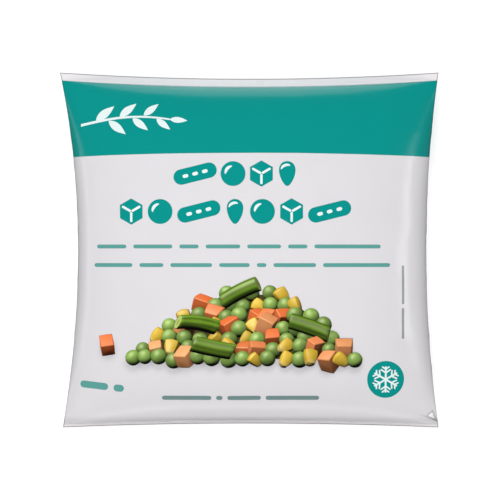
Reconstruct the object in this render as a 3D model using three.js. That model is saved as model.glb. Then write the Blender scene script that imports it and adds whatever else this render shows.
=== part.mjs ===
// A sealed pillow bag of frozen mixed vegetables, lying on its back with its printed front up.
// The bag is one tube of film, sealed flat across both ends and full of loose frozen pieces,
// so it is one closed solid: two flat seal strips with the filled pillow between them.
// Frame: millimetres, +X across the bag, +Y towards its top seal, +Z up, and the origin
// under the middle of the bag on the surface that it lies on.
import * as THREE from "three";

// Driving dimensions: the outline seen from the front
const WIDTH = 240; // the flat width of the film tube, corner to corner along a seal
const HEIGHT = 225; // between the cut edges of the two seals, at the corners
const TOP_SEAL = 5; // height of the flat strip above the filled part
const BOTTOM_SEAL = 2;
const LEFT_INSET = 11.8; // how far filling the bag draws each side in, halfway up
const RIGHT_INSET = 8;
const LEFT_TUCK = 1.9; // how far the lower left corner is drawn in as well
const TOP_DIP = 4; // how far the top edge sags between its corners
const BOTTOM_RISE = 2.5; // how far the bottom edge lifts between its corners
const LINE_BOW = 9; // how far the film's level lines bow over the bulge

// Driving dimensions: the thickness
const FRONT_RISE = 33; // from the side folds up to the middle of the front
const SIDE_HEIGHT = 21; // of the side folds above the surface, halfway up the bag
const SEAL_HEIGHT = 16; // of both seals above that surface
const BACK_DEPTH = 28; // of the back below the side folds, had the surface not flattened it
const FLATTEN = 2; // the height over which the back rounds into its flat resting patch
const SEAL_THICKNESS = 0.8; // two layers of film welded together, and the least wall at the sides

// Shape of the pillow
const INSET_POWER = 2.1; // how evenly the sides curve in between the seals
const END_POWER = 2.6; // 2 is an ellipse along the bag, more is flatter with steeper ends
const SIDE_POWER = 2.4; // the same across the bag
const ROUND_SIDE = 0.5; // exponent of a rounded side, halfway up
const SHARP_SIDE = 1.0; // exponent of a creased side, at the seals

// Mesh fineness
const STEPS_ACROSS = 36;
const STEPS_ALONG = 40;

const halfHeight = HEIGHT / 2;
const pillowTop = halfHeight - TOP_SEAL;
const pillowBottom = -halfHeight + BOTTOM_SEAL;
const pillowMiddle = (pillowTop + pillowBottom) / 2;
const pillowHalf = (pillowTop - pillowBottom) / 2;

const mix = (a, b, share) => a + (b - a) * share;
const clamp = (value, low, high) => Math.min(high, Math.max(low, value));

// The level of a height up the bag: -1 at the bottom seal, 0 halfway up and 1 at the top seal.
const levelAt = (height) => clamp((height - pillowMiddle) / pillowHalf, -1, 1);

// How full the bag is at a level: 0 at the seals and 1 halfway up.
const fullness = (level) => Math.sqrt(Math.max(0, 1 - Math.abs(level) ** END_POWER));

// The side's distance from the middle line, at a height up the bag, for x below or above zero.
function halfWidth(height, across) {
  const share = height / halfHeight;
  const inset = across < 0 ? LEFT_INSET : RIGHT_INSET;
  const tuck = across < 0 ? LEFT_TUCK * Math.max(0, -share) ** 3 : 0;
  return WIDTH / 2 - inset * (1 - Math.abs(share) ** INSET_POWER) - tuck;
}

// How far a level line of the film is pushed up the bag at its middle.
function lineBow(height) {
  const level = levelAt(height);
  const edges = mix(BOTTOM_RISE, -TOP_DIP, (level + 1) / 2);
  return edges + LINE_BOW * level * (1 - level ** 4);
}

// Rounds a falling surface off into the plane that the bag lies on.
function settle(z) {
  if (z > FLATTEN) return z;
  return z < -FLATTEN ? 0 : (z + FLATTEN) ** 2 / (4 * FLATTEN);
}

// A point of the film: across runs from -1 to 1 between the side folds, height is measured at
// the folds, and side is 1 on the front and -1 on the back.
function filmPoint(across, height, side) {
  const full = fullness(levelAt(height));
  const roundness = mix(SHARP_SIDE, ROUND_SIDE, full);
  const swell = full * Math.max(0, 1 - Math.abs(across) ** SIDE_POWER) ** roundness;
  const foldHeight = mix(SEAL_HEIGHT, SIDE_HEIGHT, full);
  const front = foldHeight + SEAL_THICKNESS / 2 + FRONT_RISE * swell;
  const back = settle(foldHeight - SEAL_THICKNESS / 2 - BACK_DEPTH * swell);
  return new THREE.Vector3(
    across * halfWidth(height, across),
    height + lineBow(height) * (1 - across ** 2),
    side > 0 ? front : back,
  );
}

// Heights of the rows of points: both cut edges, and the pillow between with closer rows at its ends.
function rowHeights() {
  const heights = [-halfHeight];
  for (let row = 0; row <= STEPS_ALONG; row++) {
    heights.push(pillowMiddle - pillowHalf * Math.cos((Math.PI * row) / STEPS_ALONG));
  }
  heights.push(halfHeight);
  return heights;
}

// One loop of points round the bag: over the front to the right, and back under it to the left.
function ringPoints(height) {
  const ring = [];
  for (const side of [1, -1]) {
    for (let step = 0; step <= STEPS_ACROSS; step++) {
      const across = -side * Math.cos((Math.PI * step) / STEPS_ACROSS);
      ring.push(filmPoint(across, height, side));
    }
  }
  return ring;
}

// The closed surface: rows of rings, with the cut edge of each seal closing an end.
function bagGeometry() {
  const rings = rowHeights().map(ringPoints);
  const ringSize = rings[0].length;
  const lastRow = rings.length - 1;
  const indices = [];
  const quad = (a, b, c, d) => indices.push(a, b, c, a, c, d);

  for (let row = 0; row < lastRow; row++) {
    for (let step = 0; step < ringSize; step++) {
      const next = (step + 1) % ringSize;
      const below = row * ringSize;
      const above = below + ringSize;
      quad(below + step, below + next, above + next, above + step);
    }
  }
  for (let step = 0; step < STEPS_ACROSS; step++) {
    const under = ringSize - 1 - step;
    const top = lastRow * ringSize;
    quad(step, under, under - 1, step + 1);
    quad(top + step, top + step + 1, top + under - 1, top + under);
  }

  const geometry = new THREE.BufferGeometry().setFromPoints(rings.flat());
  geometry.setIndex(indices);
  geometry.computeVertexNormals();
  return geometry;
}

const film = new THREE.MeshStandardMaterial({ color: 0xe0dee1, roughness: 0.42, metalness: 0 });

const bag = new THREE.Mesh(bagGeometry(), film);
bag.name = "bag";

const group = new THREE.Group();
group.add(bag);

export default group;
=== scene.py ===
"""A sealed pillow bag of frozen mixed vegetables, lying on its back and seen from above.

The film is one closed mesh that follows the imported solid, with seals, pleats, lumps and a folded
corner. The print is thin ink pieces on it: a leafy sprig, rows of vegetable signs, lines of plain
bars, a badge, and a heap of peas, carrot dice, sweetcorn and cut beans laid out by rule.
Lengths are in millimetres in the bag's own frame until a mesh is made, which is in metres.
"""

import math
import random
from collections import namedtuple
from itertools import product

import bpy
import numpy as np
from mathutils import Matrix, Vector, noise


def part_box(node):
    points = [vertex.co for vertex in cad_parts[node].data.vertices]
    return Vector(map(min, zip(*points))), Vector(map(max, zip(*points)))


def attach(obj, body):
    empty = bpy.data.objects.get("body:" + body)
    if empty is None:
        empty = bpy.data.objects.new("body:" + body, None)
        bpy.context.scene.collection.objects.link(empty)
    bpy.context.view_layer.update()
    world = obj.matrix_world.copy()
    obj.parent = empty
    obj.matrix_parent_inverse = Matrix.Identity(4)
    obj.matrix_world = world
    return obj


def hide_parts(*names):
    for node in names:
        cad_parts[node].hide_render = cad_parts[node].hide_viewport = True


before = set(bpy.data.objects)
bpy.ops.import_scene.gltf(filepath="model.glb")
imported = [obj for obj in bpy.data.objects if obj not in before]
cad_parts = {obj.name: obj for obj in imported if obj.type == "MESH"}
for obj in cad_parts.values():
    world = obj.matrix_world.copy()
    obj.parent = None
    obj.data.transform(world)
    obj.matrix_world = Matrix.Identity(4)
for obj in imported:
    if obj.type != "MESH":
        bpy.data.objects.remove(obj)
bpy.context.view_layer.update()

MM = 0.001
BODY = "root"

# The outline and thickness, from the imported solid
bag_low, bag_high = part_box("bag")
WIDTH = (bag_high.x - bag_low.x) / MM
HEIGHT = (bag_high.y - bag_low.y) / MM
THICKNESS = bag_high.z / MM
HALF_HEIGHT = HEIGHT / 2

# The pillow's shape, as the solid has it
TOP_SEAL = 5.0
BOTTOM_SEAL = 2.0
LEFT_INSET = 11.8
RIGHT_INSET = 8.0
LEFT_TUCK = 1.9
TOP_DIP = 4.0
BOTTOM_RISE = 2.5
LINE_BOW = 9.0
SIDE_HEIGHT = 21.0
SEAL_HEIGHT = 16.0
BACK_DEPTH = 28.0
FLATTEN = 2.0
INSET_POWER = 2.1
END_POWER = 2.6
SIDE_POWER = 2.4
ROUND_SIDE = 0.5
SHARP_SIDE = 1.0
SKIN = 0.3  # two layers of film welded at a seal, and the fold's thickness at the sides
FRONT_RISE = THICKNESS - SIDE_HEIGHT - SKIN / 2

PILLOW_TOP = HALF_HEIGHT - TOP_SEAL
PILLOW_BOTTOM = -HALF_HEIGHT + BOTTOM_SEAL
PILLOW_MIDDLE = (PILLOW_TOP + PILLOW_BOTTOM) / 2
PILLOW_HALF = (PILLOW_TOP - PILLOW_BOTTOM) / 2
BAND_BOTTOM = 58.6  # height at the side folds where the green band ends

# Mesh fineness of the film
ACROSS_STEPS = 200
ROW_STEPS = 200
SEAL_ROWS = 5
# The darker line along the cut edges is painted shade along the outline
CUT_EDGE = 0.55  # width of the darker line along both cut edges

# Relief of the film: the lumps of the load, the film's slow sway over them, the flattened rest and
# the waves of the seals
LUMP_SIZE = 17.0
LUMP_FADE = 14.0  # lumps fade out over this distance from the side folds
FRONT_LUMPS = 0.22
BACK_LUMPS = 0.55
FINE_LUMPS = 0.4  # depth of the smaller lumps, as a share of the large ones'
FINE_LUMP_SIZE = LUMP_SIZE / 2.3
SWAY_SIZE = 62.0
SWAY = 0.5
REST_FADE = 3.5  # lumps fade over this height above the surface that the bag lies on
REST_HOLLOW = 0.08
SEAL_WAVE = 0.7
SEAL_WAVE_SIZE = 46.0
SEAL_WAVE_FADE = 12.0  # waves fade out over this distance from the cut edges

# Colours as the photograph shows them, sRGB from 0 to 255
WHITE_FILM = (219, 217, 220)
SEAL_WHITE = (229, 225, 228)
# The cut edges' grey is painted shade along the outline
EDGE_SHADE_GREY = (150, 147, 148)
GREEN_INK = (7, 144, 138)
TEXT_INK = (92, 158, 152)
GREY_INK = (112, 138, 138)
FAINT_INK = (140, 142, 144)
PALE_INK = (226, 240, 240)


def linear(colour):
    """An sRGB colour from 0 to 255 as linear numbers from 0 to 1."""
    parts = [c / 255 for c in colour]
    return tuple(c / 12.92 if c <= 0.04045 else ((c + 0.055) / 1.055) ** 2.4 for c in parts)


# The film's surface

def level_at(height):
    """-1 at the bottom seal, 0 halfway up the bag and 1 at the top seal."""
    return np.clip((height - PILLOW_MIDDLE) / PILLOW_HALF, -1, 1)


def fullness(height):
    return np.sqrt(np.maximum(0, 1 - np.abs(level_at(height)) ** END_POWER))


def half_width(height, across):
    share = height / HALF_HEIGHT
    inset = np.where(across < 0, LEFT_INSET, RIGHT_INSET)
    tuck = np.where(across < 0, LEFT_TUCK * np.maximum(0, -share) ** 3, 0)
    return WIDTH / 2 - inset * (1 - np.abs(share) ** INSET_POWER) - tuck


def line_bow(height):
    level = level_at(height)
    edges = BOTTOM_RISE + (-TOP_DIP - BOTTOM_RISE) * (level + 1) / 2
    return edges + LINE_BOW * level * (1 - level**4)


def settle(z):
    """Rounds the falling back off into the plane that the bag lies on."""
    rounded = (z + FLATTEN) ** 2 / (4 * FLATTEN)
    return np.where(z > FLATTEN, z, np.where(z < -FLATTEN, 0, rounded))


def smooth_film(across, height, side):
    """Points of the film without relief. across is -1 to 1 from fold to fold, side 1 in front."""
    full = fullness(height)
    roundness = SHARP_SIDE + (ROUND_SIDE - SHARP_SIDE) * full
    swell = full * np.maximum(0, 1 - np.abs(across) ** SIDE_POWER) ** roundness
    fold = SEAL_HEIGHT + (SIDE_HEIGHT - SEAL_HEIGHT) * full
    front = fold + SKIN / 2 + FRONT_RISE * swell
    back = settle(fold - SKIN / 2 - BACK_DEPTH * swell)
    x = across * half_width(height, across)
    y = height + line_bow(height) * (1 - across**2)
    return np.stack([x, y, np.where(side > 0, front, back)], -1)


def film_normals(across, height, side):
    """Outward normals of the smooth film, by small steps along and across it."""
    step = 0.004
    angle = np.clip(np.arccos(np.clip(-across, -1, 1)), step, math.pi - step)
    up = np.clip(height, -HALF_HEIGHT + step, HALF_HEIGHT - step)
    ahead = smooth_film(-np.cos(angle + step / 2), up, side)
    behind = smooth_film(-np.cos(angle - step / 2), up, side)
    above = smooth_film(-np.cos(angle), up + step, side)
    below = smooth_film(-np.cos(angle), up - step, side)
    normal = np.cross(ahead - behind, above - below) * np.sign(side)[..., None]
    return normal / np.maximum(np.linalg.norm(normal, axis=-1, keepdims=True), 1e-12)


def soft_noise(points, size, seed):
    """Smooth noise from about -1 to 1, with features about this many millimetres across."""
    shift = Vector((seed * 7.3, seed * 3.1, seed * 5.7))
    flat = points.reshape(-1, 3) / size
    values = [noise.noise(Vector(p) + shift) for p in flat.tolist()]
    return np.array(values).reshape(points.shape[:-1])


def pleat_set(seed, count, span, deep, wide, length):
    """Places, half widths, depths and lengths of pleats spread along a seal or a fold."""
    rng = random.Random(seed)
    low, high = span
    step = (high - low) / count
    pleats = []
    for number in range(count):
        place = low + step * (number + rng.uniform(0.1, 0.9))
        half_wide = rng.uniform(*wide)
        depth = rng.uniform(*deep) * rng.choice((-1, 1))
        pleats.append((place, half_wide, depth, rng.uniform(*length)))
    return pleats


# Each set: its seed, how many pleats, the span that they stand along, and the least and most of
# their depth, half width and length
TOP_PLEATS = pleat_set(11, 17, (-108, 108), (0.2, 0.8), (1.8, 4.2), (10, 28))
BOTTOM_PLEATS = pleat_set(12, 15, (-108, 108), (0.2, 0.9), (1.8, 4.4), (10, 28))
LEFT_PLEATS = pleat_set(13, 12, (-90, 94), (0.6, 1.7), (2.6, 5.6), (14, 34))
RIGHT_PLEATS = pleat_set(14, 13, (-94, 90), (0.6, 1.7), (2.6, 5.6), (14, 34))
FRONT_SEAL_PLEATS = 0.22  # how much of a pleat shows on the front, where the film is tight
FRONT_SIDE_PLEATS = 0.18
PLEAT_FADE = 9.0  # pleats fade over this distance from the side folds
PLEAT_FAN = 0.25  # 0 leaves a pleat as wide all along, and more fans it out


def pleats_at(pleats, along, away):
    """Depth of these pleats at a place along their seal or fold and a distance away from it."""
    total = np.zeros_like(along)
    for place, wide, deep, length in pleats:
        fanned = (along - place) * (1 - PLEAT_FAN * np.minimum(away / length, 1))
        total += deep * np.exp(-np.abs(fanned / wide) ** 1.5 - (away / length) ** 2)
    return total


# The folded lower right corner: a small raised facet, with grooves along its sides and one that
# runs on from it towards the middle
CORNER_FACET = [(112.3, -105.2), (118.3, -107.5), (116.0, -101.8)]
CORNER_LINE = [(118.9, -108.3), (108.4, -104.2)]
CORNER_RISE = 0.8
GROOVE_DEEP = 0.5
GROOVE_WIDE = 0.42
LINE_FADE = 0.7  # how much shallower the last groove is at its far end


def line_gap(x, y, start, end):
    """The distance of places from a line between two points, and how far along it they are."""
    along = np.subtract(end, start)
    reach = np.clip(((x - start[0]) * along[0] + (y - start[1]) * along[1]) / (along @ along), 0, 1)
    return np.hypot(x - start[0] - reach * along[0], y - start[1] - reach * along[1]), reach


def corner_fold(x, y):
    """How far a place is part of the corner's facet and of its grooves, each from 0 to 1."""
    inside = np.full_like(x, np.inf)
    groove = np.zeros_like(x)
    for start, end in zip(CORNER_FACET, CORNER_FACET[1:] + CORNER_FACET[:1]):
        along = np.subtract(end, start) / math.dist(start, end)
        inside = np.minimum(inside, (y - start[1]) * along[0] - (x - start[0]) * along[1])
        groove = np.maximum(groove, np.exp(-(line_gap(x, y, start, end)[0] / GROOVE_WIDE) ** 2))
    gap, reach = line_gap(x, y, *CORNER_LINE)
    groove = np.maximum(groove, (1 - LINE_FADE * reach) * np.exp(-(gap / GROOVE_WIDE) ** 2))
    return np.clip(inside / GROOVE_WIDE, 0, 1), groove


SEAM_HALF = 6.0  # of the lap seam down the back
SEAM_GROOVE = 0.3  # the film lies this much higher over the seam, so that the seam is flush
SEAM_BLEND = 3.0


def fold_distance(across):
    """How far a place of the film is from the side fold on its own side of the bag."""
    return (1 - np.abs(across)) * WIDTH / 2


def load_relief(points, full, fold_gap, front):
    """The lumps of the loose pieces inside, and the slow sway of the film over them."""
    inside = full**1.5 * np.clip(fold_gap / LUMP_FADE, 0, 1)
    lumps = soft_noise(points, LUMP_SIZE, 1) + FINE_LUMPS * soft_noise(points, FINE_LUMP_SIZE, 2)
    sway = SWAY * soft_noise(points, SWAY_SIZE, 3)
    return (lumps * np.where(front, FRONT_LUMPS, BACK_LUMPS) + sway) * inside


def seal_pleats(points, height, full, fold_gap, front):
    ends = pleats_at(TOP_PLEATS, points[..., 0], PILLOW_TOP - height)
    ends += pleats_at(BOTTOM_PLEATS, points[..., 0], height - PILLOW_BOTTOM)
    open_film = np.clip(full * 2.5, 0, 1) * np.clip(fold_gap / PLEAT_FADE, 0, 1)
    return ends * np.where(front, FRONT_SEAL_PLEATS, 1) * open_film


def side_pleats(across, height, full, fold_gap, front):
    left = np.where(across < 0, pleats_at(LEFT_PLEATS, height, fold_gap), 0)
    right = np.where(across >= 0, pleats_at(RIGHT_PLEATS, height, fold_gap), 0)
    edge = np.clip(fold_gap / PLEAT_FADE + 0.2, 0, 1) * np.clip(full * 1.4 - 0.2, 0, 1)
    return (left + right) * np.where(front, FRONT_SIDE_PLEATS, 1) * edge


def relief(points, across, height, side):
    """How far the real film stands out of the smooth one, along its normal."""
    full = fullness(height)
    front = side > 0
    fold_gap = fold_distance(across)
    total = load_relief(points, full, fold_gap, front)
    total += seal_pleats(points, height, full, fold_gap, front)
    total += side_pleats(across, height, full, fold_gap, front)

    resting = np.where(front, 0, 1 - np.clip(points[..., 2] / REST_FADE, 0, 1))
    hollow = REST_HOLLOW * (1 + soft_noise(points, SWAY_SIZE / 2, 5))
    total = total * (1 - resting) - hollow * resting
    seam = np.clip((SEAM_HALF + SEAM_BLEND - np.abs(points[..., 0])) / SEAM_BLEND, 0, 1)
    total -= np.where(front, 0, SEAM_GROOVE) * seam**2 * (3 - 2 * seam) * np.clip(full * 2, 0, 1)
    return total


# Painted shade in the film's colour: darker near the side folds and at its foot, with painted
# dark lines along the pressed folds and above the bottom seal. The middle of the top seal is
# painted lighter.
# Shades, lines and gleams are shares of its brightness. Reaches and widths are in millimetres.
# Painted shade near the side folds, and a painted dark line along the pressed folds
FOLD_SHADE = 0.1
FOLD_SHADE_REACH = 6.5
FOLD_SHADE_LINE = 0.72
FOLD_SHADE_LINE_WIDE = 0.5
FOLD_SHADE_LINE_FADE = 0.87  # how much of the line is gone where the bag is fullest
# Painted shade at the foot, a painted dark line above the bottom seal, and painted shade on that seal
FOOT_SHADE = 0.15
FOOT_SHADE_REACH = 4.2
FOOT_SHADE_LINE = 0.12
FOOT_SHADE_LINE_WIDE = 0.35
FOOT_SEAL_SHADE = 0.06
# Painted shade in the corner's grooves, and a painted highlight on its facet
GROOVE_SHADE = 0.45
FACET_PAINTED_HIGHLIGHT = 0.25
# Painted light: the middle of the top seal is made lighter
TOP_SEAL_PAINTED_LIGHT = 0.11


def painted_film_shade_and_light(across, height, side, points):
    """The painted shade and light of the film at a place, as a share of its full brightness."""
    full = fullness(height)
    fold_gap = fold_distance(across)
    # Painted shade near the side folds, and a painted dark line along them that fades where the bag
    # is full
    fold = FOLD_SHADE * full * np.exp(-(fold_gap / FOLD_SHADE_REACH) ** 3)
    line = FOLD_SHADE_LINE * (1 - FOLD_SHADE_LINE_FADE * full) * np.exp(-(fold_gap / FOLD_SHADE_LINE_WIDE) ** 2)
    # Painted shade at the foot and on the bottom seal, with a painted dark line where that seal
    # begins
    up = height - PILLOW_BOTTOM
    foot = FOOT_SHADE * np.clip(up, 0, 1) * np.exp(-(up / FOOT_SHADE_REACH) ** 4)
    foot += FOOT_SHADE_LINE * np.exp(-(up / FOOT_SHADE_LINE_WIDE) ** 2) + FOOT_SEAL_SHADE * (up < 0)
    # Painted highlight on the corner's facet and painted shade in its grooves
    facet, groove = corner_fold(points[..., 0], points[..., 1])
    corner = np.where(side > 0, FACET_PAINTED_HIGHLIGHT * facet - GROOVE_SHADE * groove, 0)
    # Painted light in the middle of the top seal
    seal = TOP_SEAL_PAINTED_LIGHT * (1 - across**2) * (height > PILLOW_TOP)
    return 1 - fold - line - foot + corner + seal


def film(across, height, side, lift=0.0):
    """Points of the real film, lifted off it along its normal."""
    across, height = np.broadcast_arrays(np.asarray(across, float), np.asarray(height, float))
    side = np.broadcast_to(np.asarray(side, float), across.shape)
    points = smooth_film(across, height, side)
    normals = film_normals(across, height, side)
    out = relief(points, across, height, side)
    points = points + normals * (out + lift)[..., None]
    loose = 1 - np.clip((HALF_HEIGHT - np.abs(height)) / SEAL_WAVE_FADE, 0, 1)
    wave = SEAL_WAVE * soft_noise(points * (1, 0.3, 0), SEAL_WAVE_SIZE, 4) * loose
    facet, groove = corner_fold(points[..., 0], points[..., 1])
    points[..., 2] += wave + CORNER_RISE * facet - GROOVE_DEEP * groove
    points[..., 2] = np.maximum(points[..., 2], 0.0)
    return points


PLACE_ROUNDS = 30  # of closing in on the film under a place of the print


def print_place(x, y):
    """The across and height of the film under a place of the print, seen straight from above."""
    height = np.array(y, float)
    for _ in range(PLACE_ROUNDS):
        across = np.clip(x / half_width(height, x), -1, 1)
        height = y - line_bow(height) * (1 - across**2)
    return across, height


# Materials. The scales of noise and ribs are per metre, and the distances of bumps in metres.

FILM_IOR = 1.5
FILM_ROUGHNESS = 0.22
SEAL_ROUGHNESS = 0.3
ROUGHNESS_SWAY = (-0.03, 0.04)
INK_SWAY = (0.982, 1.0)
NOISE_RANGE = (0.3, 0.7)  # where most of the noise lies
INK_NOISE = {"Scale": 55, "Detail": 3}
SATIN_NOISE = {"Scale": 38, "Detail": 2}
PUCKER_NOISE = {"Scale": 260, "Detail": 3}
PUCKERS = {"Strength": 0.35, "Distance": 0.00012}
RIB_WAVES = {"Scale": 160}
RIBS = {"Strength": 0.3, "Distance": 0.0001}


def set_sockets(tree, node, sockets):
    """Gives each socket of a node a value, or wires it to another node's output."""
    for name, value in sockets.items():
        if isinstance(value, bpy.types.NodeSocket):
            tree.links.new(value, node.inputs[name])
        else:
            node.inputs[name].default_value = value


def add_node(tree, kind, output, sockets, **settings):
    """One output of a new node, made with these sockets and settings."""
    node = tree.nodes.new("ShaderNode" + kind)
    for name, value in settings.items():
        setattr(node, name, value)
    set_sockets(tree, node, sockets)
    return node.outputs[output]


def noise_between(tree, place, look, low, high):
    """A number that varies smoothly over the film between two limits."""
    value = add_node(tree, "TexNoise", "Fac", {"Vector": place, **look})
    least, most = NOISE_RANGE
    limits = {"From Min": least, "From Max": most, "To Min": low, "To Max": high}
    return add_node(tree, "MapRange", "Result", {"Value": value, **limits})


def film_ink(tree, place, colour, shaded):
    """The film's colour, a little uneven, or its mesh's own inks where no colour is given."""
    share = noise_between(tree, place, INK_NOISE, *INK_SWAY)
    # Where shaded, the ink is scaled by the mesh's painted shade and light
    if shaded:
        shade = add_node(tree, "Attribute", "Fac", {}, attribute_name="shade")
        share = add_node(tree, "Math", "Value", {0: share, 1: shade}, operation="MULTIPLY")
    if colour:
        ink = linear(colour)
    else:
        ink = add_node(tree, "Attribute", "Color", {}, attribute_name="ink")
    return add_node(tree, "VectorMath", "Vector", {0: ink, "Scale": share}, operation="SCALE")


def film_normal(tree, place, crimp):
    """The normal over the film's fine puckers, and over the ribs of a crimped seal."""
    height = add_node(tree, "TexNoise", "Fac", {"Vector": place, **PUCKER_NOISE})
    normal = add_node(tree, "Bump", "Normal", {"Height": height, **PUCKERS})
    if crimp:
        waves = {"Vector": place, **RIB_WAVES}
        height = add_node(tree, "TexWave", "Fac", waves, bands_direction="Y")
        normal = add_node(tree, "Bump", "Normal", {"Height": height, "Normal": normal, **RIBS})
    return normal


def film_material(name, colour=None, roughness=FILM_ROUGHNESS, crimp=False, shaded=False):
    """Printed film with a satin gloss that varies, and fine puckers. crimp adds a seal's ribs."""
    material = bpy.data.materials.new(name)
    material.use_nodes = True
    tree = material.node_tree
    place = add_node(tree, "TexCoord", "Object", {})
    low, high = ROUGHNESS_SWAY
    set_sockets(tree, tree.nodes["Principled BSDF"], {
        "IOR": FILM_IOR,
        "Base Color": film_ink(tree, place, colour, shaded),
        "Roughness": noise_between(tree, place, SATIN_NOISE, roughness + low, roughness + high),
        "Normal": film_normal(tree, place, crimp),
    })
    return material


def add_piece(name, points, faces, materials, looks=None, inks=None, shade=None):
    """A mesh from points in millimetres that rides on the bag. looks has a material per face."""
    mesh = bpy.data.meshes.new(name)
    mesh.from_pydata((points * MM).tolist(), [], faces)
    for material in materials:
        mesh.materials.append(material)
    if looks is not None:
        mesh.polygons.foreach_set("material_index", looks)
    mesh.polygons.foreach_set("use_smooth", [True] * len(mesh.polygons))
    if inks is not None:
        colours = mesh.color_attributes.new("ink", "FLOAT_COLOR", "POINT")
        rows = np.concatenate([inks, np.ones((len(inks), 1))], 1)
        colours.data.foreach_set("color", rows.astype(np.float32).ravel())
    if shade is not None:
        shares = mesh.attributes.new("shade", "FLOAT", "POINT")
        shares.data.foreach_set("value", shade.astype(np.float32).ravel())
    mesh.update()
    piece = bpy.data.objects.new(name, mesh)
    bpy.context.scene.collection.objects.link(piece)
    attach(piece, BODY)
    return piece


# The film bag, and its materials by their places in its list

WHITE, GREEN, SEAL, CUT = range(4)


def row_heights():
    """Heights of the film's rows, close together at the seals, with one at the band's lower edge."""
    steps = np.cos(math.pi * np.arange(ROW_STEPS, -1, -1) / ROW_STEPS)
    pillow = PILLOW_MIDDLE + PILLOW_HALF * steps
    pillow[np.argmin(np.abs(pillow - BAND_BOTTOM))] = BAND_BOTTOM
    cut = HALF_HEIGHT - CUT_EDGE
    low_seal = [-HALF_HEIGHT, *np.linspace(-cut, PILLOW_BOTTOM, SEAL_ROWS)[:-1]]
    top_seal = [*np.linspace(PILLOW_TOP, cut, SEAL_ROWS)[1:], HALF_HEIGHT]
    return np.concatenate([low_seal, pillow, top_seal])


def row_material(height):
    """Which of the film's materials a row of faces has."""
    if abs(height) > HALF_HEIGHT - CUT_EDGE:
        return CUT
    if not PILLOW_BOTTOM < height < PILLOW_TOP:
        return SEAL
    return GREEN if height > BAND_BOTTOM else WHITE


def film_faces(heights, ring):
    """The film's faces and their materials, with cut edges that close both ends."""
    faces, looks = [], []
    for row in range(len(heights) - 1):
        look = row_material((heights[row] + heights[row + 1]) / 2)
        below, above = row * ring, (row + 1) * ring
        for step in range(ring):
            after = (step + 1) % ring
            faces.append((below + step, below + after, above + after, above + step))
            looks.append(look)
    top = (len(heights) - 1) * ring
    for step in range(ACROSS_STEPS):
        under = ring - 1 - step
        faces.append((step, under, under - 1, step + 1))
        faces.append((top + step, top + step + 1, top + under - 1, top + under))
        looks += [CUT, CUT]
    return faces, looks


def build_film():
    heights = row_heights()
    front = -np.cos(math.pi * np.arange(ACROSS_STEPS + 1) / ACROSS_STEPS)
    across = np.concatenate([front, -front])[None, :]
    side = np.repeat([1.0, -1.0], len(front))[None, :]
    points = film(across, heights[:, None], side)
    # Painted shade and light, kept in the film's colour
    shade = painted_film_shade_and_light(across, heights[:, None], side, points)
    faces, looks = film_faces(heights, across.size)
    materials = [
        film_material("film_white", WHITE_FILM, shaded=True),
        film_material("film_green", GREEN_INK, shaded=True),
        film_material("film_seal", SEAL_WHITE, SEAL_ROUGHNESS, crimp=True, shaded=True),
        film_material("film_cut_edge_shade", EDGE_SHADE_GREY),
    ]
    bag = add_piece("bag_film", points.reshape(-1, 3), faces, materials, looks, shade=shade)
    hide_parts("bag")
    return materials


SEAM_LIFTS = (0.02, 0.2)  # of the lap's underside and of its top above the film
SEAM_COLUMNS = 9
SEAM_BAND_LAG = 0.4  # the lap's green starts at least this far above the band's lower edge


def seam_faces(heights):
    """The faces and materials of the lap's two layers, and of the edges that join them."""
    rows, columns = len(heights), SEAM_COLUMNS
    top = rows * columns
    faces, looks = [], []
    for row in range(rows - 1):
        look = GREEN if BAND_BOTTOM + SEAM_BAND_LAG < heights[row] < PILLOW_TOP else WHITE
        for column in range(columns - 1):
            a = row * columns + column
            quad = (a, a + 1, a + columns + 1, a + columns)
            faces.append(quad)
            faces.append(tuple(top + i for i in reversed(quad)))
            looks += [look, look]
        left, right = row * columns, (row + 1) * columns - 1
        for a, b in ((left, left + columns), (right + columns, right)):
            faces.append((a, b, top + b, top + a))
            looks.append(look)
    for start, turn in ((0, 1), ((rows - 1) * columns, -1)):
        for column in range(columns - 1):
            a, b = start + column, start + column + 1
            faces.append((a, top + a, top + b, b)[::turn])
            looks.append(WHITE)
    return faces, looks


def build_seam(materials):
    """The lap seam down the back: a thin strip of film from one cut edge to the other."""
    heights = row_heights()[::2]
    wide = np.linspace(-SEAM_HALF, SEAM_HALF, SEAM_COLUMNS)
    across = wide[None, :] / half_width(heights, 0)[:, None]
    points = np.stack([film(across, heights[:, None], -1.0, lift) for lift in SEAM_LIFTS])
    # Painted shade and light, kept in the film's colour
    shade = painted_film_shade_and_light(across, heights[:, None], -1.0, points)
    faces, looks = seam_faces(heights)
    add_piece("back_seam", points.reshape(-1, 3), faces, materials[:2], looks, shade=shade)


# The print. Each ink piece is a flat mesh in the print's own x and y, laid on the film.

INK_LIFT = 0.045  # of the first layer of ink above the film
LAYER_LIFT = 0.014  # of each further layer above the one before
CELL = 1.3  # the largest face of an ink piece
ROUND = np.radians(np.arange(0, 360, 9))  # the directions of a round outline's points


def lay_on_film(flat, lift):
    across, height = print_place(flat[:, 0], flat[:, 1])
    return film(across, height, 1.0, lift)


def direction(degrees):
    return np.array([math.cos(math.radians(degrees)), math.sin(math.radians(degrees))])


def turn_flat(flat, degrees):
    c, s = direction(degrees)
    return flat @ np.array([[c, s], [-s, c]])


def grid_faces(columns, rows):
    """The faces between points that stand in columns, one whole column after another."""
    return [
        (a * rows + b, (a + 1) * rows + b, (a + 1) * rows + b + 1, a * rows + b + 1)
        for a in range(columns - 1)
        for b in range(rows - 1)
    ]


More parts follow.
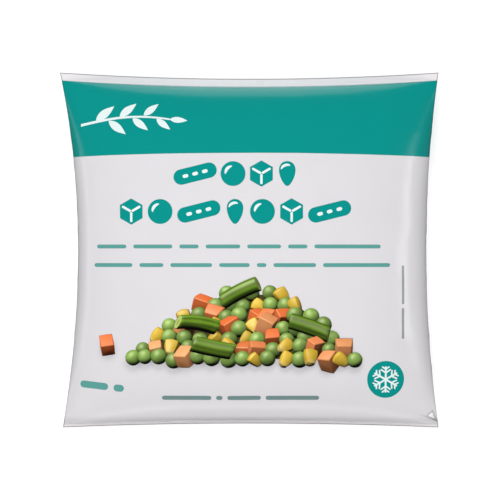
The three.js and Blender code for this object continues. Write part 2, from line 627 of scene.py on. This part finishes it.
def bar(x, y, length, height, turn=0.0):
    """A bar with round ends, centred at x and y and turned by that many degrees."""
    radius = min(height, length) / 2
    columns = max(6, math.ceil(length / CELL)) + 8
    ends = np.sin(np.linspace(-1, 1, columns) * math.pi / 2) * length / 2
    past = np.maximum(np.abs(ends) - length / 2 + radius, 0)
    edge = height / 2 - radius + np.sqrt(np.maximum(radius**2 - past**2, 0))
    rows = max(2, math.ceil(height / CELL)) + 1
    up = edge[:, None] * np.linspace(-1, 1, rows)[None, :]
    along = np.repeat(ends[:, None], rows, 1)
    flat = turn_flat(np.stack([along, up], -1).reshape(-1, 2), turn) + (x, y)
    return flat, grid_faces(columns, rows)


def patch(outline):
    """The inside of an outline that goes anticlockwise and can all be seen from its middle."""
    edge = []
    for start, end in zip(outline, np.roll(outline, -1, 0)):
        pieces = max(1, math.ceil(np.linalg.norm(end - start) / CELL))
        edge += [start + (end - start) * i / pieces for i in range(pieces)]
    edge = np.array(edge)
    middle = edge.mean(0)
    count = len(edge)
    rings = max(2, math.ceil(np.linalg.norm(edge - middle, axis=1).max() / CELL))
    layers = [middle[None, :]] + [middle + (edge - middle) * (i + 1) / rings for i in range(rings)]
    faces = [(0, 1 + i, 1 + (i + 1) % count) for i in range(count)]
    for ring in range(rings - 1):
        inner = 1 + ring * count
        for i in range(count):
            j = (i + 1) % count
            faces.append((inner + i, inner + count + i, inner + count + j, inner + j))
    return np.concatenate(layers), faces


def round_patch(x, y, radius, corners=ROUND):
    return patch(np.stack([np.cos(corners), np.sin(corners)], 1) * radius + (x, y))


def crescent(x, y, radius, width, start, end):
    """A curved stroke that tapers to both ends, between two directions in degrees."""
    steps = max(6, math.ceil(math.radians(end - start) * radius / CELL) + 4)
    angles = np.radians(np.linspace(start, end, steps))
    half = width / 2 * np.sin(np.linspace(0, math.pi, steps)) ** 0.6
    reach = radius + half[:, None] * np.array([-1, 0, 1])[None, :]
    flat = np.stack([x + reach * np.cos(angles)[:, None], y + reach * np.sin(angles)[:, None]], -1)
    faces = [
        (a * 3 + b, a * 3 + b + 1, (a + 1) * 3 + b + 1, (a + 1) * 3 + b)
        for a in range(steps - 1)
        for b in range(2)
    ]
    return flat.reshape(-1, 2), faces


def joined(shapes):
    """Several flat meshes as one."""
    points, faces, total = [], [], 0
    for flat, quads in shapes:
        points.append(flat)
        faces += [tuple(i + total for i in quad) for quad in quads]
        total += len(flat)
    return np.concatenate(points), faces


def ink_piece(name, shapes, material, layer=0):
    flat, faces = joined(shapes)
    points = lay_on_film(flat, INK_LIFT + LAYER_LIFT * layer)
    return add_piece(name, points, faces, [material])


# The heading: two rows of plain vegetable signs

SIGN_TALL = 15.5
BEAN_SIGN_LEAN = 14
BEAN_SIGN_SEEDS = (-6.2, 0.0, 6.2)  # their places along the bean
# Each row: its height on the print, its left end, the gaps between its signs, and their kinds
HEADING_ROWS = [
    (47.6, -47.0, 2.6, ("bean", "pea", "die", "kernel")),
    (24.0, -81.0, 3.1, ("die", "pea", "bean", "kernel", "pea", "die", "bean")),
]


def pea_sign(x, y):
    """Each sign gives its bodies in green ink and the pale marks on them."""
    radius = SIGN_TALL / 2
    gleam = crescent(x, y, radius * 0.62, width=1.9, start=95, end=185)
    return [round_patch(x, y, radius)], [gleam]


def die_sign(x, y):
    """A cube seen on its corner, with its three near edges."""
    radius = SIGN_TALL / 2 * 1.06
    body = round_patch(x, y, radius, np.radians(np.arange(30, 390, 60)))
    edges = []
    for corner in (30, 150, 270):
        place = direction(corner) * (radius * 0.42) + (x, y)
        edges.append(bar(*place, length=radius * 0.78, height=1.5, turn=corner))
    return [body], edges


def kernel_sign(x, y):
    wide = SIGN_TALL * 0.42 * (0.76 + 0.24 * np.sin(ROUND))
    body = patch(np.stack([x + wide * np.cos(ROUND), y + SIGN_TALL / 2 * np.sin(ROUND)], 1))
    gleam = crescent(x, y + 1.4, SIGN_TALL * 0.26, width=1.7, start=60, end=165)
    return [body], [gleam]


def bean_sign(x, y):
    body = bar(x, y, length=27.5, height=SIGN_TALL * 0.62, turn=BEAN_SIGN_LEAN)
    seeds = []
    for along in BEAN_SIGN_SEEDS:
        place = turn_flat(np.array([(along, 0.0)]), BEAN_SIGN_LEAN)[0] + (x, y)
        seeds.append(bar(*place, length=3.6, height=2.2, turn=BEAN_SIGN_LEAN))
    return [body], seeds


# What draws each sign, and how wide it is
SIGNS = {
    "pea": (pea_sign, 15.5),
    "die": (die_sign, 14.6),
    "kernel": (kernel_sign, 12.4),
    "bean": (bean_sign, 26.6),
}


def build_heading(green, pale):
    bodies, marks = [], []
    for y, left, gap, kinds in HEADING_ROWS:
        for kind in kinds:
            draw, wide = SIGNS[kind]
            body, mark = draw(left + wide / 2, y)
            bodies += body
            marks += mark
            left += wide + gap
    ink_piece("print_heading", bodies, green)
    ink_piece("print_heading_marks", marks, pale, layer=1)


# The emblem on the band: a leafy sprig

SPRIG_X, SPRIG_Y = -106.0, 78.5
SPRIG_LONG, SPRIG_RISE = 58.0, 5.0
SPRIG_LEAVES = ((0.16, 1), (0.3, -1), (0.42, 1), (0.56, -1), (0.68, 1), (0.82, -1))
LEAF_LONG, LEAF_WIDE, LEAF_LEAN = 15.5, 5.6, 38


def sprig_place(share):
    rise = SPRIG_RISE * math.sin(math.pi * share * 0.8)
    return np.array([SPRIG_X + SPRIG_LONG * share, SPRIG_Y + rise])


def leaf(foot, length, width, turn):
    share = np.linspace(0, 1, 16)
    half = width / 2 * np.sin(math.pi * share**0.8)
    lower = np.stack([share * length, -half], 1)
    upper = np.stack([share[::-1] * length, half[::-1]], 1)[1:-1]
    return patch(turn_flat(np.concatenate([lower, upper]), turn) + foot)


def build_sprig(pale):
    leaves = []
    for share, side in SPRIG_LEAVES:
        size = 1 - 0.35 * share
        foot = sprig_place(share) + (0.4, side * 0.9)
        leaves.append(leaf(foot, LEAF_LONG * size, LEAF_WIDE * size, side * LEAF_LEAN))
    leaves.append(leaf(sprig_place(0.97), LEAF_LONG * 0.72, LEAF_WIDE * 0.66, -4))
    ink_piece("print_sprig_leaves", leaves, pale, layer=1)
    share = np.linspace(0, 0.97, 40)
    line = np.array([sprig_place(value) for value in share])
    wide = (0.85 - 0.35 * share)[:, None] * np.array([[0, 1]])
    stem = np.stack([line - wide, line + wide], 1).reshape(-1, 2)
    faces = [(2 * i, 2 * i + 2, 2 * i + 3, 2 * i + 1) for i in range(len(share) - 1)]
    ink_piece("print_sprig_stem", [(stem, faces)], pale)


# Lines of plain bars. Each line: its left end, its height on the print, the lengths of its bars,
# their thickness, the gaps between them, and how steeply it rises.

TEXT_LINES = (
    (-95.3, 2.2, (18.5, 24.5, 12.0, 21.5, 21.0, 12.0, 41.5), 2.4, 4.4, 0.0),
    (-96.9, -9.4, (24.0, 15.0, 26.0, 19.0, 6.0, 26.5, 42.0), 2.4, 4.4, 0.0),
    (-106.6, -84.2, (18.0, 6.6), 4.4, 3.4, -0.1),
)
NOTE_LINE = (-54.7, -92.6, (31.0, 4.0, 21.0, 33.5), 2.6, 3.0, 0.0)
SIDE_BARS = ((96.3, -46.0, 19.5, 1.5, 90), (96.3, -21.8, 24.5, 1.5, 90))


def word_bars(left, y, lengths, thickness, gap, slope):
    turn = math.degrees(math.atan(slope))
    shapes, along = [], 0.0
    for length in lengths:
        middle = along + length / 2
        shapes.append(bar(left + middle, y + middle * slope, length, thickness, turn))
        along += length + gap
    return shapes


def build_small_print(text, grey, faint):
    lines = [shape for line in TEXT_LINES for shape in word_bars(*line)]
    ink_piece("print_lines", lines, text)
    ink_piece("print_note", word_bars(*NOTE_LINE), grey)
    ink_piece("print_side_note", [bar(*place) for place in SIDE_BARS], faint)


# The round badge, with a plain snowflake

BADGE_X, BADGE_Y, BADGE_RADIUS = 85.6, -81.2, 11.7
FLAKE_ARM = 8.4
FLAKE_LINE = 1.2
FLAKE_TWIGS = ((0.5, 4.0), (0.78, 2.9))  # how far out each pair stands, and its length
TWIG_LEAN = 55


def build_badge(green, pale):
    disc = round_patch(BADGE_X, BADGE_Y, BADGE_RADIUS)
    ink_piece("print_badge", [disc], green)
    for number in range(3):
        arm = bar(BADGE_X, BADGE_Y, 2 * FLAKE_ARM, FLAKE_LINE, 60 * number + 30)
        ink_piece(f"print_flake_{number}", [arm], pale, layer=number + 1)
    twigs = []
    for toward in range(30, 390, 60):
        for share, length in FLAKE_TWIGS:
            foot = direction(toward) * FLAKE_ARM * share
            for turn in (toward - TWIG_LEAN, toward + TWIG_LEAN):
                middle = foot + direction(turn) * length / 2 + (BADGE_X, BADGE_Y)
                twigs.append(bar(*middle, length, FLAKE_LINE * 0.8, turn))
    ink_piece("print_flake_twigs", twigs, pale, layer=4)


# The picture of the vegetables. Each one is a solid that is lit, pressed flat and then printed.

PICTURE_SEED = 20
HEAP_LEFT, HEAP_RIGHT, HEAP_PEAK, HEAP_BASE = -79.0, 70.0, 5.0, -73.0
HEAP_ROWS = 7
HEAP_STEP_X, HEAP_STEP_Y = 8.8, 6.7
STRAY_X, STRAY_Y = 1.7, 1.6  # the most that a piece lies off its place in the heap
HEAP_INSET = 5.0  # of the rim's pieces, and of the dark behind them
HEAP_FLANK = 0.7  # below 1 the heap bulges, above 1 its sides are hollow
LOOSE_DIE = (-89.0, -59.5)  # the carrot die beside the heap
BEAN_FORWARD = 1.5  # a bean lies on the rows in front of its own, this far
BEAN_APART = (30.0, 9.0)
DECK = ("pea",) * 9 + ("carrot",) * 4 + ("kernel",) * 4 + ("bean",) * 3
LAYER_MARGIN = 2.0  # how near two pieces come before they have layers of their own

PEA_INK = (128, 160, 78)
CARROT_INK = (236, 118, 62)
CARROT_PALE_INK = (238, 168, 112)
KERNEL_INK = (222, 184, 62)
KERNEL_TIP_INK = (232, 206, 130)
BEAN_INK = (112, 150, 44)
BEAN_CUT_INK = (182, 200, 108)
GAP_INK = (70, 66, 34)
GLEAM_INK = (255, 250, 215)

# The picture's light: what is left of it in the dark, what full light adds, what an underside
# loses, and the gleam with the power that sharpens it
PICTURE_LIGHT = np.array((-0.33, 0.62, 0.71))
UNLIT, LIT, UNDERSIDE = 0.15, 1.05, 0.18
GLEAM, GLEAM_POWER = 0.24, 20
GLEAM_LIFT = (0, 0, 0.4)
GLEAM_WIDE = 1.3

# Shadows: their strength and reach in radii of a disc, how they are moved, and their full part
PIECE_SHADOW = (0.45, 1.6)
GROUND_SHADOW = (0.2, 1.7)
SHADOW_SHIFT = (0.6, -0.8)
SHADOW_CORE = 0.85
GROUND_SHIFT = (0.8, 2.4)
GROUND_LEFT, GROUND_RIGHT, GROUND_LOW, GROUND_HIGH = -97, 84, -86, -46
GROUND_STEPS = (150, 34)
GROUND_RIM = 6  # the ground's shadow fades out over this distance from its edges
GROUND_HEAP = 16  # the part of the heap that throws it, from its foot up
GROUND_DARKEST = 0.35
GROUND_LIFT = INK_LIFT * 0.6  # it lies under all the other ink

# A vegetable that is ready to print, with the discs that it covers, and a patch of ink in its layer
Vegetable = namedtuple("Vegetable", "kind flat faces inks covers")
InkPatch = namedtuple("InkPatch", "flat faces inks layer")


def block_grid(steps):
    """Points and faces of a cube from -1 to 1 with this many steps along each edge."""
    points, faces, index = [], [], {}

    def corner(place):
        key = tuple(round(c * steps) for c in place)
        if key not in index:
            index[key] = len(points)
            points.append(place)
        return index[key]

    ticks = [-1 + 2 * i / steps for i in range(steps + 1)]
    for axis, sign, i, j in product(range(3), (-1, 1), range(steps), range(steps)):
        quad = []
        for a, b in ((i, j), (i + 1, j), (i + 1, j + 1), (i, j + 1)):
            place = [0.0, 0.0, 0.0]
            place[axis] = float(sign)
            place[(axis + 1) % 3] = ticks[a]
            place[(axis + 2) % 3] = ticks[b]
            quad.append(corner(tuple(place)))
        faces.append(tuple(quad if sign > 0 else reversed(quad)))
    return np.array(points), np.array(faces)


BLOCK, BLOCK_FACES = block_grid(12)
BALL = BLOCK / np.linalg.norm(BLOCK, axis=1, keepdims=True)


def blended(first, second, share):
    share = np.asarray(share, float)[..., None]
    return np.array(linear(first)) * (1 - share) + np.array(linear(second)) * share


def pea_shape(rng):
    """Each shape gives its points, its inks, and the discs that it covers when pressed flat."""
    size = rng.uniform(4.6, 5.3)
    wrinkle = soft_noise(BALL * size, 3.2, rng.randrange(50))
    inks = np.array(linear(PEA_INK)) * (rng.uniform(0.75, 1.2) * (1 + 0.24 * wrinkle))[:, None]
    return BALL * size * (1 + 0.025 * wrinkle)[:, None], inks, [(0.0, size)]


def carrot_shape(rng):
    half = np.array([rng.uniform(3.9, 5.4) for _ in range(3)])
    taper = 1 + rng.uniform(-0.16, 0.16) * BLOCK[:, [2]]
    points = (BLOCK * 0.86 + BALL * 0.2) * half * taper
    core = soft_noise(points, 7.0, rng.randrange(50)) * 0.12
    inks = blended(CARROT_INK, CARROT_PALE_INK, np.clip(rng.uniform(-0.3, 0.9) + core, 0, 1))
    return points, inks * rng.uniform(0.85, 1.1), [(0.0, half.mean() * 1.2)]


def kernel_shape(rng):
    body = BLOCK * 0.35 + BALL * 0.75
    taper = 0.8 + 0.22 * body[:, 1]
    size = rng.uniform(4.0, 5.0)
    points = np.stack([body[:, 0] * taper, body[:, 1] * 1.1, body[:, 2] * 0.7], 1) * size
    inks = blended(KERNEL_INK, KERNEL_TIP_INK, np.clip(-body[:, 1] * 1.2 - 0.4, 0, 1))
    return points, inks * rng.uniform(0.75, 1.1), [(0.0, size * 0.95)]


def bean_shape(rng):
    radius, half = rng.uniform(4.4, 5.2), rng.uniform(10.5, 15.0)
    y, z = BLOCK[:, 1], BLOCK[:, 2]
    spread = np.maximum(np.abs(y), np.abs(z)) / np.maximum(np.hypot(y, z), 1e-6)
    y, z = y * spread, z * spread
    bow = rng.uniform(-1.4, 1.4) * (1 - BLOCK[:, 0] ** 2)
    slanted = BLOCK[:, 0] * half + rng.uniform(-1.8, 1.8) * y
    points = np.stack([slanted, y * radius + bow, z * radius], 1)
    ridge = np.cos(np.arctan2(y, z) * 8 + rng.uniform(0, 6))
    streak = soft_noise(points * (0.25, 1, 1), 2.6, rng.randrange(50))
    tone = rng.uniform(0.55, 1.0) * (1 + 0.4 * ridge + 0.25 * streak)
    inks = np.array(linear(BEAN_INK)) * tone[:, None]
    cut = (np.abs(BLOCK[:, 0]) > 0.999) & (np.hypot(y, z) < 0.93)
    inks[cut] = np.array(linear(BEAN_CUT_INK)) * (1 - 0.25 * (np.hypot(y, z)[cut] < 0.45))[:, None]
    return points, inks, [(share * half, radius) for share in (-0.72, -0.24, 0.24, 0.72)]


SHAPES = {"pea": pea_shape, "carrot": carrot_shape, "kernel": kernel_shape, "bean": bean_shape}
# The least and most turn about the page's x, y and z, in degrees
TURNS = {
    "pea": ((-40, 40), (-40, 40), (-90, 90)),
    "carrot": ((22, 48), (-50, 50), (-24, 24)),
    "kernel": ((-30, 30), (-30, 30), (-75, 75)),
    "bean": ((-20, 20), (-34, 34), (-34, 34)),
}


def random_turn(rng, kind):
    angles = [math.radians(rng.uniform(*limits)) for limits in TURNS[kind]]
    turns = [np.array(Matrix.Rotation(angle, 3, axis)) for angle, axis in zip(angles, "XYZ")]
    about_x, about_y, about_z = turns
    return about_z @ about_x @ about_y


def lit_inks(inks, normals):
    """Inks with the light and shade of their solid in them."""
    light = PICTURE_LIGHT / np.linalg.norm(PICTURE_LIGHT)
    shade = UNLIT + LIT * np.clip(normals @ light, 0, 1) - UNDERSIDE * np.clip(-normals[:, 1], 0, 1)
    gleam = GLEAM * np.clip(normals @ (light + GLEAM_LIFT) / GLEAM_WIDE, 0, 1) ** GLEAM_POWER
    return np.clip(inks * shade[:, None] + gleam[:, None] * linear(GLEAM_INK), 0, 1)


def seen_flat(points, inks):
    """What shows of a solid from the front, pressed flat, with its light and shade in the ink."""
    a, b, c, d = (points[BLOCK_FACES[:, i]] for i in range(4))
    face_normal = np.cross(c - a, d - b)
    normals = np.zeros_like(points)
    for i in range(4):
        np.add.at(normals, BLOCK_FACES[:, i], face_normal)
    normals /= np.maximum(np.linalg.norm(normals, axis=1, keepdims=True), 1e-9)
    shown = BLOCK_FACES[face_normal[:, 2] > 1e-6]
    used, renamed = np.unique(shown, return_inverse=True)
    return points[used, :2], renamed.reshape(-1, 4), lit_inks(inks, normals)[used]


def heap_sides(row):
    """The places of the first and the last piece of a row of the heap."""
    spread = (1 - row / HEAP_ROWS) ** HEAP_FLANK
    left = HEAP_PEAK + (HEAP_LEFT + HEAP_INSET - HEAP_PEAK) * spread
    return left, HEAP_PEAK + (HEAP_RIGHT - HEAP_INSET - HEAP_PEAK) * spread


def heap_places(rng):
    """The row and place of each of the heap's pieces, and whether it is at the heap's rim."""
    places = []
    for row in reversed(range(HEAP_ROWS)):
        left, right = heap_sides(row)
        count = max(2, round((right - left) / HEAP_STEP_X) + 1)
        for i in range(count):
            x = left + (right - left) * i / (count - 1) + rng.uniform(-STRAY_X, STRAY_X)
            y = HEAP_BASE + HEAP_INSET + row * HEAP_STEP_Y + rng.uniform(-STRAY_Y, STRAY_Y)
            places.append((row, x, y, i in (0, count - 1)))
    return places


def heap_order(rng):
    """The kind and place of each vegetable, in the order of printing."""
    deck, beans, pieces = [], [], []
    for row, x, y, rim in heap_places(rng):
        if not deck:
            deck = rng.sample(DECK, len(DECK))
        kind = deck.pop()
        if kind == "bean":
            near = (abs(x - u) < BEAN_APART[0] and abs(y - v) < BEAN_APART[1] for u, v in beans)
            if rim or any(near):
                kind = "pea"
            else:
                beans.append((x, y))
        pieces.append((row - BEAN_FORWARD * (kind == "bean"), kind, x, y))
    pieces.append((HEAP_ROWS, "carrot", *LOOSE_DIE))
    return [piece[1:] for piece in sorted(pieces, key=lambda piece: -piece[0])]


def heap_pieces(rng):
    """The vegetables themselves, in the order of printing."""
    pieces = []
    for kind, x, y in heap_order(rng):
        points, inks, discs = SHAPES[kind](rng)
        turn = random_turn(rng, kind)
        flat, faces, inks = seen_flat(points @ turn.T, inks)
        covers = [(x + turn[0, 0] * along, y + turn[1, 0] * along, reach) for along, reach in discs]
        pieces.append(Vegetable(kind, flat + (x, y), faces, inks, covers))
    return pieces


def light_left(flat, covers, strength, reach):
    """How much light is left at flat places beside things that cover these discs."""
    left = np.ones(len(flat))
    for x, y, radius in covers:
        along, up = (flat - (x, y) - SHADOW_SHIFT).T
        away = np.hypot(along, up) / radius
        left *= 1 - strength * np.clip((reach - away) / (reach - SHADOW_CORE), 0, 1) ** 2
    return left


def build_ground_shade(pieces, material):
    """The soft shade that the heap throws on the white print."""
    highest = HEAP_BASE + GROUND_HEAP
    covers = [disc for piece in pieces for disc in piece.covers if disc[1] < highest]
    columns, rows = GROUND_STEPS
    along = np.linspace(GROUND_LEFT, GROUND_RIGHT, columns)
    x, y = np.meshgrid(along, np.linspace(GROUND_LOW, GROUND_HIGH, rows), indexing="ij")
    flat = np.stack([x.ravel(), y.ravel()], 1)
    left = np.clip(light_left(flat + GROUND_SHIFT, covers, *GROUND_SHADOW), GROUND_DARKEST, 1)
    rim = np.minimum.reduce([x - GROUND_LEFT, GROUND_RIGHT - x, y - GROUND_LOW, GROUND_HIGH - y])
    left = 1 - (1 - left) * np.clip(rim.ravel() / GROUND_RIM, 0, 1)
    inks = np.array(linear(WHITE_FILM)) * left[:, None]
    points = lay_on_film(flat, GROUND_LIFT)
    faces = grid_faces(columns, rows)
    add_piece("print_ground_shade", points, faces, [material], inks=inks)


def heap_dark():
    """The dark that shows between the pieces, as one patch behind them that ends short of the rim."""
    low = HEAP_BASE + HEAP_INSET
    rows = [(*heap_sides(row), low + row * HEAP_STEP_Y) for row in range(HEAP_ROWS)]
    outline = [(right, y) for left, right, y in rows]
    outline += [(left, y) for left, right, y in reversed(rows)]
    flat, faces = patch(np.array(outline))
    return InkPatch(flat, faces, np.tile(linear(GAP_INK), (len(flat), 1)), layer=1)


def layer_over(covers, laid):
    """The first layer above whatever is laid already and comes near these discs."""
    near = [
        layer
        for discs, layer in laid
        for x, y, radius in discs
        for u, v, reach in covers
        if math.hypot(x - u, y - v) < radius + reach + LAYER_MARGIN
    ]
    return 1 + max(near, default=1)


def build_picture(material):
    pieces = heap_pieces(random.Random(PICTURE_SEED))
    build_ground_shade(pieces, material)
    parts = {kind: [] for kind in SHAPES}
    parts["gap"] = [heap_dark()]
    laid = []
    for number, piece in enumerate(pieces):
        layer = layer_over(piece.covers, laid)
        laid.append((piece.covers, layer))
        in_front = [disc for other in pieces[number + 1:] for disc in other.covers]
        inks = piece.inks * light_left(piece.flat, in_front, *PIECE_SHADOW)[:, None]
        parts[piece.kind].append(InkPatch(piece.flat, piece.faces.tolist(), inks, layer))
    for name, made in parts.items():
        flat, faces = joined([(part.flat, part.faces) for part in made])
        layers = np.concatenate([np.full(len(part.flat), part.layer) for part in made])
        inks = np.concatenate([part.inks for part in made])
        points = lay_on_film(flat, INK_LIFT + LAYER_LIFT * layers)
        add_piece(f"print_{name}s", points, faces, [material], inks=inks)


# The stage: floor, light and camera, in metres

FRAME_SPAN = 317.0  # millimetres of the seals' level that the picture's side takes in
FRAME_SHIFT = 0.5  # millimetres from the bag's middle to the picture's
CAMERA_GAP = 2.0  # of the camera above the seals' level
SENSOR = 36.0
FLOOR_REACH = 0.45
FLOOR_HEIGHT = -0.0001
FLOOR_GREY = 0.4
FLOOR_GLOW = 0.7
CARD_LOW = (-0.3, 0.121)
CARD_HIGH = (0.3, 0.4)
CARD_HEIGHT = 0.0005
CARD_GREY = 0.0
CARD_GLOW = 0.98
SHEET_ROUGHNESS = 0.8
WHITE_LIGHT = (1, 1, 1, 1)


def lit_sheet(name, low, high, height, grey, glow):
    """A level sheet of the stage between two corners, which is grey and glows evenly."""
    mesh = bpy.data.meshes.new(name)
    (left, near), (right, far) = low, high
    corners = [(left, near, 0), (right, near, 0), (right, far, 0), (left, far, 0)]
    mesh.from_pydata(corners, [], [(0, 1, 2, 3)])
    material = bpy.data.materials.new(name)
    material.use_nodes = True
    material.cycles.emission_sampling = "NONE"
    tree = material.node_tree
    set_sockets(tree, tree.nodes["Principled BSDF"], {
        "Base Color": (grey, grey, grey, 1),
        "Roughness": SHEET_ROUGHNESS,
        "Emission Color": WHITE_LIGHT,
        "Emission Strength": glow,
    })
    mesh.materials.append(material)
    sheet = bpy.data.objects.new(name, mesh)
    bpy.context.scene.collection.objects.link(sheet)
    sheet.location.z = height
    return sheet


def build_floor():
    """A pale light table that the gloss doesn't see, and a card past the top seal that it does."""
    low, high = (-FLOOR_REACH, -FLOOR_REACH), (FLOOR_REACH, FLOOR_REACH)
    floor = lit_sheet("floor", low, high, FLOOR_HEIGHT, FLOOR_GREY, FLOOR_GLOW)
    floor.visible_glossy = False
    card = lit_sheet("gloss_card", CARD_LOW, CARD_HIGH, CARD_HEIGHT, CARD_GREY, CARD_GLOW)
    card.visible_camera = False
    card.visible_diffuse = False
    card.visible_shadow = False


# Soft lights: the direction and height that they shine from in degrees, their size in metres,
# their power in watts, and whether they are seen in the film's gloss only. The wide lights give
# shade without gloss, as filtered lamps do, and the strips give the gleams along the bag's edges.
LIGHT_REACH = 2.0
SOFT_LIGHTS = {
    "left_light": (180, 70, (0.9, 0.9), 15.2, False),
    "top_light": (90, 62, (1.0, 1.0), 10.6, False),
    "top_low_light": (90, 35, (1.0, 0.8), 15.8, False),
    "low_light": (270, 35, (1.0, 0.8), 19.6, False),
    "left_low_light": (180, 18, (1.0, 0.8), 2.6, False),
    "right_light": (0, 18, (1.0, 0.8), 6.2, False),
    "left_strip": (183, 7, (1.0, 0.35), 1.55, True),
    "right_strip": (0, 29, (0.96, 0.34), 3.9, True),
    "low_strip": (270, 8, (1.6, 0.5), 3.5, True),
}
ROOM_LIGHT = 0.05  # the even glow of the room
BACKDROP = 1.0  # and of the pale backdrop that the camera sees past the floor


def build_world():
    world = bpy.data.worlds.new("studio")
    world.use_nodes = True
    tree = world.node_tree
    seen = add_node(tree, "LightPath", "Is Camera Ray", {})
    limits = {"To Min": ROOM_LIGHT, "To Max": BACKDROP}
    glow = add_node(tree, "MapRange", "Result", {"Value": seen, **limits})
    set_sockets(tree, tree.nodes["Background"], {"Color": WHITE_LIGHT, "Strength": glow})
    bpy.context.scene.world = world


def build_light(name, turn, height, size, power, gloss):
    light = bpy.data.lights.new(name, "AREA")
    light.shape = "RECTANGLE"
    light.size, light.size_y = size
    light.energy = power
    lamp = bpy.data.objects.new(name, light)
    bpy.context.scene.collection.objects.link(lamp)
    across = math.cos(math.radians(height)) * LIGHT_REACH
    place = Vector((*direction(turn) * across, math.sin(math.radians(height)) * LIGHT_REACH))
    lamp.location = place
    lamp.rotation_euler = (-place).to_track_quat("-Z", "Y").to_euler()
    lamp.visible_glossy = gloss
    lamp.visible_diffuse = not gloss
    lamp.visible_camera = False
    light.cycles.use_multiple_importance_sampling = gloss


def build_stage():
    scene = bpy.context.scene
    build_world()
    for name, (turn, height, size, power, gloss) in SOFT_LIGHTS.items():
        build_light(name, turn, height, size, power, gloss)
    scene.view_settings.view_transform = "Standard"

    camera = bpy.data.cameras.new("camera")
    camera.sensor_width = SENSOR
    camera.lens = SENSOR * CAMERA_GAP / (FRAME_SPAN * MM)
    view = bpy.data.objects.new("camera", camera)
    scene.collection.objects.link(view)
    view.location = (FRAME_SHIFT * MM, 0, CAMERA_GAP + SEAL_HEIGHT * MM)
    scene.camera = view


def main():
    build_stage()
    build_floor()
    film_materials = build_film()
    build_seam(film_materials)
    green = film_material("ink_green", GREEN_INK)
    pale = film_material("ink_pale", PALE_INK)
    build_heading(green, pale)
    build_sprig(pale)
    text = film_material("ink_text", TEXT_INK)
    grey = film_material("ink_grey", GREY_INK)
    faint = film_material("ink_faint", FAINT_INK)
    build_small_print(text, grey, faint)
    build_badge(green, pale)
    build_picture(film_material("ink_picture"))


main()
